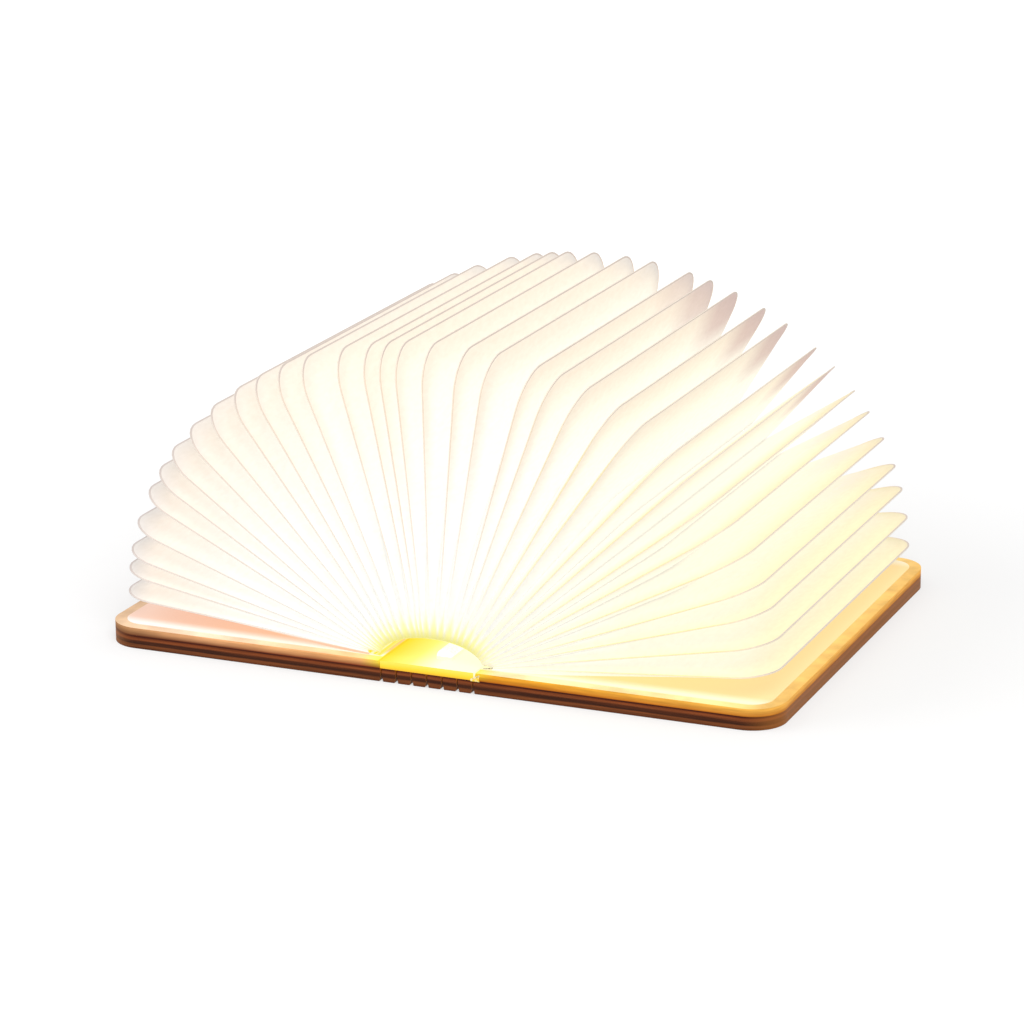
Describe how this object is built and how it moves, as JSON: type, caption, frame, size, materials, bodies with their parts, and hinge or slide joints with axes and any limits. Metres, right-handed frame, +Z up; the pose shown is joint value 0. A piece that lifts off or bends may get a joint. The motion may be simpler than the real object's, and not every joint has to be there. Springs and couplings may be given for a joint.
{
  "type": "folding book lamp",
  "caption": "Lamp shaped like a small hardback book: wooden covers on a slatted spine open flat and a paper bellows stands over it as a lit half-round fan.",
  "frame": {"origin": "middle of the case, open flat, on the surface it rests on", "axes": "+X across the open covers to the right-hand cover, +Y from the front (foot) edge to the back, +Z up"},
  "size_m": [0.1738, 0.122, 0.0815],
  "materials": {
    "walnut": "oiled laser-cut walnut ply",
    "inner_ply": "bare light ply",
    "endpaper": "matte laid paper",
    "paper": "matte tear-proof paper",
    "lining": "thin woven lining, lit from inside",
    "cell": "satin foil pouch",
    "circuit_board": "solder mask",
    "socket_metal": "bright plated",
    "light_pipe": "clear",
    "sensor": "moulded",
    "flat_cable": "polyimide film",
    "magnet": "nickel plated",
    "carrier": "satin extrusion",
    "led_strip": "white solder mask",
    "phosphor": "phosphor",
    "diffuser": "opal"
  },
  "bodies": {
    "right_cover": {"right_cover_board": "walnut", "right_inner_plate": "inner_ply", "right_endpaper": "endpaper", "battery_cell": "cell", "control_board": "circuit_board", "usb_socket": "socket_metal", "charge_indicator": "light_pipe", "hall_sensor": "sensor", "ribbon_cable": "flat_cable", "right_magnets": "magnet"},
    "spine_lining": {"spine_lining": "lining", "paper_arch": "paper"},
    "left_cover": {"left_cover_board": "walnut", "left_inner_plate": "inner_ply", "left_endpaper": "endpaper", "left_magnets": "magnet"},
    "slat_1": {"slat_1": "walnut"},
    "slat_2": {"slat_2": "walnut"},
    "slat_3": {"slat_3": "walnut", "led_carrier": "carrier", "led_board": "led_strip", "led_chips": "phosphor", "diffuser": "diffuser"},
    "slat_4": {"slat_4": "walnut"},
    "slat_5": {"slat_5": "walnut"},
    "slat_6": {"slat_6": "walnut"},
    "leaf_01": {"leaf_01": "paper"},
    "leaf_02": {"leaf_02": "paper"},
    "leaf_03": {"leaf_03": "paper"},
    "leaf_04": {"leaf_04": "paper"},
    "leaf_05": {"leaf_05": "paper"},
    "leaf_06": {"leaf_06": "paper"},
    "leaf_07": {"leaf_07": "paper"},
    "leaf_08": {"leaf_08": "paper"},
    "leaf_09": {"leaf_09": "paper"},
    "leaf_10": {"leaf_10": "paper"},
    "leaf_11": {"leaf_11": "paper"},
    "leaf_12": {"leaf_12": "paper"},
    "leaf_13": {"leaf_13": "paper"},
    "leaf_14": {"leaf_14": "paper"},
    "leaf_15": {"leaf_15": "paper"},
    "leaf_16": {"leaf_16": "paper"},
    "leaf_17": {"leaf_17": "paper"},
    "leaf_18": {"leaf_18": "paper"},
    "leaf_19": {"leaf_19": "paper"},
    "leaf_20": {"leaf_20": "paper"},
    "leaf_21": {"leaf_21": "paper"},
    "leaf_22": {"leaf_22": "paper"},
    "leaf_23": {"leaf_23": "paper"},
    "leaf_24": {"leaf_24": "paper"},
    "leaf_25": {"leaf_25": "paper"},
    "leaf_26": {"leaf_26": "paper"},
    "leaf_27": {"leaf_27": "paper"},
    "leaf_28": {"leaf_28": "paper"},
    "leaf_29": {"leaf_29": "paper"},
    "leaf_30": {"leaf_30": "paper"},
    "leaf_31": {"leaf_31": "paper"},
    "leaf_32": {"leaf_32": "paper"},
    "leaf_33": {"leaf_33": "paper"},
    "leaf_34": {"leaf_34": "paper"}
  },
  "joints": [
    {"name": "lining_fold_right", "type": "hinge", "parent": "right_cover", "child": "spine_lining", "pos_m": [0.009, 0, 0.0021], "axis": [0, 1, 0], "range_deg": [-94.15, 90], "deforming": ["spine_lining", "paper_arch"]},
    {"name": "lining_fold_left", "type": "hinge", "parent": "spine_lining", "child": "left_cover", "pos_m": [-0.009, 0, 0.0021], "axis": [0, 1, 0], "range_deg": [-94.16, 90.01]},
    {"name": "spine_hinge_1", "type": "hinge", "parent": "right_cover", "child": "slat_1", "pos_m": [0.01185, 0, 0.002], "axis": [0, 1, 0], "range_deg": [-26.91, 25.72]},
    {"name": "spine_hinge_2", "type": "hinge", "parent": "slat_1", "child": "slat_2", "pos_m": [0.0079, 0, 0.002], "axis": [0, 1, 0], "range_deg": [-26.91, 25.72]},
    {"name": "spine_hinge_3", "type": "hinge", "parent": "slat_2", "child": "slat_3", "pos_m": [0.00395, 0, 0.002], "axis": [0, 1, 0], "range_deg": [-26.91, 25.72]},
    {"name": "spine_hinge_7", "type": "hinge", "parent": "left_cover", "child": "slat_6", "pos_m": [-0.01185, 0, 0.002], "axis": [0, -1, 0], "range_deg": [-26.91, 25.72]},
    {"name": "spine_hinge_6", "type": "hinge", "parent": "slat_6", "child": "slat_5", "pos_m": [-0.0079, 0, 0.002], "axis": [0, -1, 0], "range_deg": [-26.91, 25.72]},
    {"name": "spine_hinge_5", "type": "hinge", "parent": "slat_5", "child": "slat_4", "pos_m": [-0.00395, 0, 0.002], "axis": [0, -1, 0], "range_deg": [-26.91, 25.72]},
    {"name": "leaf_hinge_01", "type": "hinge", "parent": "right_cover", "child": "leaf_01", "pos_m": [0.01402, 0, 0.00549], "axis": [0, 1, 0], "range_deg": [-5.34, 5.11]},
    {"name": "leaf_hinge_02", "type": "hinge", "parent": "leaf_01", "child": "leaf_02", "pos_m": [0.01548, 0, 0.0059], "axis": [0, 1, 0], "range_deg": [-6.14, 5.87]},
    {"name": "leaf_hinge_03", "type": "hinge", "parent": "leaf_02", "child": "leaf_03", "pos_m": [0.01471, 0, 0.00603], "axis": [0, 1, 0], "range_deg": [-6.09, 5.82]},
    {"name": "leaf_hinge_04", "type": "hinge", "parent": "leaf_03", "child": "leaf_04", "pos_m": [0.01422, 0, 0.00617], "axis": [0, 1, 0], "range_deg": [-5.04, 4.82]},
    {"name": "leaf_hinge_05", "type": "hinge", "parent": "leaf_04", "child": "leaf_05", "pos_m": [0.01244, 0, 0.00577], "axis": [0, 1, 0], "range_deg": [-6.02, 5.75]},
    {"name": "leaf_hinge_06", "type": "hinge", "parent": "leaf_05", "child": "leaf_06", "pos_m": [0.01089, 0, 0.00528], "axis": [0, 1, 0], "range_deg": [-5.99, 5.73]},
    {"name": "leaf_hinge_07", "type": "hinge", "parent": "leaf_06", "child": "leaf_07", "pos_m": [0.00984, 0, 0.00492], "axis": [0, 1, 0], "range_deg": [-4.98, 4.76]},
    {"name": "leaf_hinge_08", "type": "hinge", "parent": "leaf_07", "child": "leaf_08", "pos_m": [0.00785, 0, 0.00373], "axis": [0, 1, 0], "range_deg": [-5.96, 5.7]},
    {"name": "leaf_hinge_09", "type": "hinge", "parent": "leaf_08", "child": "leaf_09", "pos_m": [0.00677, 0, 0.00308], "axis": [0, 1, 0], "range_deg": [-4.96, 4.74]},
    {"name": "leaf_hinge_10", "type": "hinge", "parent": "leaf_09", "child": "leaf_10", "pos_m": [0.00463, 0, 0.0011], "axis": [0, 1, 0], "range_deg": [-6.94, 6.63]},
    {"name": "leaf_hinge_11", "type": "hinge", "parent": "leaf_10", "child": "leaf_11", "pos_m": [0.00389, 0, 0.00052], "axis": [0, 1, 0], "range_deg": [-4.96, 4.74]},
    {"name": "leaf_hinge_12", "type": "hinge", "parent": "leaf_11", "child": "leaf_12", "pos_m": [0.00258, 0, -0.00116], "axis": [0, 1, 0], "range_deg": [-5.95, 5.69]},
    {"name": "leaf_hinge_13", "type": "hinge", "parent": "leaf_12", "child": "leaf_13", "pos_m": [0.00198, 0, -0.00179], "axis": [0, 1, 0], "range_deg": [-4.96, 4.74]},
    {"name": "leaf_hinge_14", "type": "hinge", "parent": "leaf_13", "child": "leaf_14", "pos_m": [0.00168, 0, -0.00181], "axis": [0, 1, 0], "range_deg": [-3.97, 3.79]},
    {"name": "leaf_hinge_15", "type": "hinge", "parent": "leaf_14", "child": "leaf_15", "pos_m": [0.00067, 0, -0.00433], "axis": [0, 1, 0], "range_deg": [-6.95, 6.64]},
    {"name": "leaf_hinge_16", "type": "hinge", "parent": "leaf_15", "child": "leaf_16", "pos_m": [0.00044, 0, -0.00401], "axis": [0, 1, 0], "range_deg": [-4.96, 4.75]},
    {"name": "leaf_hinge_17", "type": "hinge", "parent": "leaf_16", "child": "leaf_17", "pos_m": [0.00009, 0, -0.00482], "axis": [0, 1, 0], "range_deg": [-5.96, 5.69]},
    {"name": "leaf_hinge_18", "type": "hinge", "parent": "leaf_17", "child": "leaf_18", "pos_m": [-0.0002, 0, -0.00423], "axis": [0, 1, 0], "range_deg": [-4.96, 4.75]},
    {"name": "leaf_hinge_19", "type": "hinge", "parent": "leaf_18", "child": "leaf_19", "pos_m": [-0.00072, 0, -0.0018], "axis": [0, 1, 0], "range_deg": [-2.98, 2.85]},
    {"name": "leaf_hinge_20", "type": "hinge", "parent": "leaf_19", "child": "leaf_20", "pos_m": [-0.00103, 0, -0.00156], "axis": [0, 1, 0], "range_deg": [-2.98, 2.85]},
    {"name": "leaf_hinge_21", "type": "hinge", "parent": "leaf_20", "child": "leaf_21", "pos_m": [-0.00097, 0, -0.00328], "axis": [0, 1, 0], "range_deg": [-4.96, 4.74]},
    {"name": "leaf_hinge_22", "type": "hinge", "parent": "leaf_21", "child": "leaf_22", "pos_m": [-0.00127, 0, -0.00324], "axis": [0, 1, 0], "range_deg": [-6.94, 6.64]},
    {"name": "leaf_hinge_23", "type": "hinge", "parent": "leaf_22", "child": "leaf_23", "pos_m": [-0.00243, 0, -0.0012], "axis": [0, 1, 0], "range_deg": [-4.96, 4.74]},
    {"name": "leaf_hinge_24", "type": "hinge", "parent": "leaf_23", "child": "leaf_24", "pos_m": [-0.00329, 0, -0.00014], "axis": [0, 1, 0], "range_deg": [-4.96, 4.74]},
    {"name": "leaf_hinge_25", "type": "hinge", "parent": "leaf_24", "child": "leaf_25", "pos_m": [-0.00431, 0, 0.00096], "axis": [0, 1, 0], "range_deg": [-4.96, 4.74]},
    {"name": "leaf_hinge_26", "type": "hinge", "parent": "leaf_25", "child": "leaf_26", "pos_m": [-0.00524, 0, 0.00173], "axis": [0, 1, 0], "range_deg": [-5.95, 5.68]},
    {"name": "leaf_hinge_27", "type": "hinge", "parent": "leaf_26", "child": "leaf_27", "pos_m": [-0.00677, 0, 0.00298], "axis": [0, 1, 0], "range_deg": [-5.95, 5.69]},
    {"name": "leaf_hinge_28", "type": "hinge", "parent": "leaf_27", "child": "leaf_28", "pos_m": [-0.0084, 0, 0.00407], "axis": [0, 1, 0], "range_deg": [-5.96, 5.7]},
    {"name": "leaf_hinge_29", "type": "hinge", "parent": "leaf_28", "child": "leaf_29", "pos_m": [-0.0104, 0, 0.00517], "axis": [0, 1, 0], "range_deg": [-4.98, 4.76]},
    {"name": "leaf_hinge_30", "type": "hinge", "parent": "leaf_29", "child": "leaf_30", "pos_m": [-0.01179, 0, 0.00569], "axis": [0, 1, 0], "range_deg": [-5, 4.78]},
    {"name": "leaf_hinge_31", "type": "hinge", "parent": "leaf_30", "child": "leaf_31", "pos_m": [-0.01244, 0, 0.0057], "axis": [0, 1, 0], "range_deg": [-7.03, 6.72]},
    {"name": "leaf_hinge_32", "type": "hinge", "parent": "leaf_31", "child": "leaf_32", "pos_m": [-0.01419, 0, 0.00603], "axis": [0, 1, 0], "range_deg": [-6.07, 5.8]},
    {"name": "leaf_hinge_33", "type": "hinge", "parent": "leaf_32", "child": "leaf_33", "pos_m": [-0.01635, 0, 0.00628], "axis": [0, 1, 0], "range_deg": [-4.07, 3.89]},
    {"name": "leaf_hinge_34", "type": "hinge", "parent": "leaf_33", "child": "leaf_34", "pos_m": [-0.01606, 0, 0.00595], "axis": [0, 1, 0], "range_deg": [-5.12, 4.9]}
  ],
  "couplings": [
    {"joint": "lining_fold_left", "follows": "lining_fold_right", "ratio": 1},
    {"joint": "spine_hinge_1", "follows": "lining_fold_right", "ratio": 0.28571},
    {"joint": "spine_hinge_2", "follows": "lining_fold_right", "ratio": 0.28571},
    {"joint": "spine_hinge_3", "follows": "lining_fold_right", "ratio": 0.28571},
    {"joint": "spine_hinge_7", "follows": "lining_fold_right", "ratio": 0.28571},
    {"joint": "spine_hinge_6", "follows": "lining_fold_right", "ratio": 0.28571},
    {"joint": "spine_hinge_5", "follows": "lining_fold_right", "ratio": 0.28571},
    {"joint": "leaf_hinge_01", "follows": "lining_fold_right", "ratio": 0.056753},
    {"joint": "leaf_hinge_02", "follows": "lining_fold_right", "ratio": 0.065254},
    {"joint": "leaf_hinge_03", "follows": "lining_fold_right", "ratio": 0.064693},
    {"joint": "leaf_hinge_04", "follows": "lining_fold_right", "ratio": 0.053548},
    {"joint": "leaf_hinge_05", "follows": "lining_fold_right", "ratio": 0.063903},
    {"joint": "leaf_hinge_06", "follows": "lining_fold_right", "ratio": 0.063607},
    {"joint": "leaf_hinge_07", "follows": "lining_fold_right", "ratio": 0.052841},
    {"joint": "leaf_hinge_08", "follows": "lining_fold_right", "ratio": 0.063276},
    {"joint": "leaf_hinge_09", "follows": "lining_fold_right", "ratio": 0.052663},
    {"joint": "leaf_hinge_10", "follows": "lining_fold_right", "ratio": 0.07368},
    {"joint": "leaf_hinge_11", "follows": "lining_fold_right", "ratio": 0.052622},
    {"joint": "leaf_hinge_12", "follows": "lining_fold_right", "ratio": 0.063162},
    {"joint": "leaf_hinge_13", "follows": "lining_fold_right", "ratio": 0.052654},
    {"joint": "leaf_hinge_14", "follows": "lining_fold_right", "ratio": 0.042139},
    {"joint": "leaf_hinge_15", "follows": "lining_fold_right", "ratio": 0.073772},
    {"joint": "leaf_hinge_16", "follows": "lining_fold_right", "ratio": 0.052712},
    {"joint": "leaf_hinge_17", "follows": "lining_fold_right", "ratio": 0.063263},
    {"joint": "leaf_hinge_18", "follows": "lining_fold_right", "ratio": 0.052718},
    {"joint": "leaf_hinge_19", "follows": "lining_fold_right", "ratio": 0.031627},
    {"joint": "leaf_hinge_20", "follows": "lining_fold_right", "ratio": 0.031622},
    {"joint": "leaf_hinge_21", "follows": "lining_fold_right", "ratio": 0.052689},
    {"joint": "leaf_hinge_22", "follows": "lining_fold_right", "ratio": 0.073733},
    {"joint": "leaf_hinge_23", "follows": "lining_fold_right", "ratio": 0.052644},
    {"joint": "leaf_hinge_24", "follows": "lining_fold_right", "ratio": 0.052633},
    {"joint": "leaf_hinge_25", "follows": "lining_fold_right", "ratio": 0.052622},
    {"joint": "leaf_hinge_26", "follows": "lining_fold_right", "ratio": 0.063156},
    {"joint": "leaf_hinge_27", "follows": "lining_fold_right", "ratio": 0.063211},
    {"joint": "leaf_hinge_28", "follows": "lining_fold_right", "ratio": 0.063322},
    {"joint": "leaf_hinge_29", "follows": "lining_fold_right", "ratio": 0.052889},
    {"joint": "leaf_hinge_30", "follows": "lining_fold_right", "ratio": 0.053067},
    {"joint": "leaf_hinge_31", "follows": "lining_fold_right", "ratio": 0.074656},
    {"joint": "leaf_hinge_32", "follows": "lining_fold_right", "ratio": 0.064444},
    {"joint": "leaf_hinge_33", "follows": "lining_fold_right", "ratio": 0.043244},
    {"joint": "leaf_hinge_34", "follows": "lining_fold_right", "ratio": 0.054422}
  ]
}
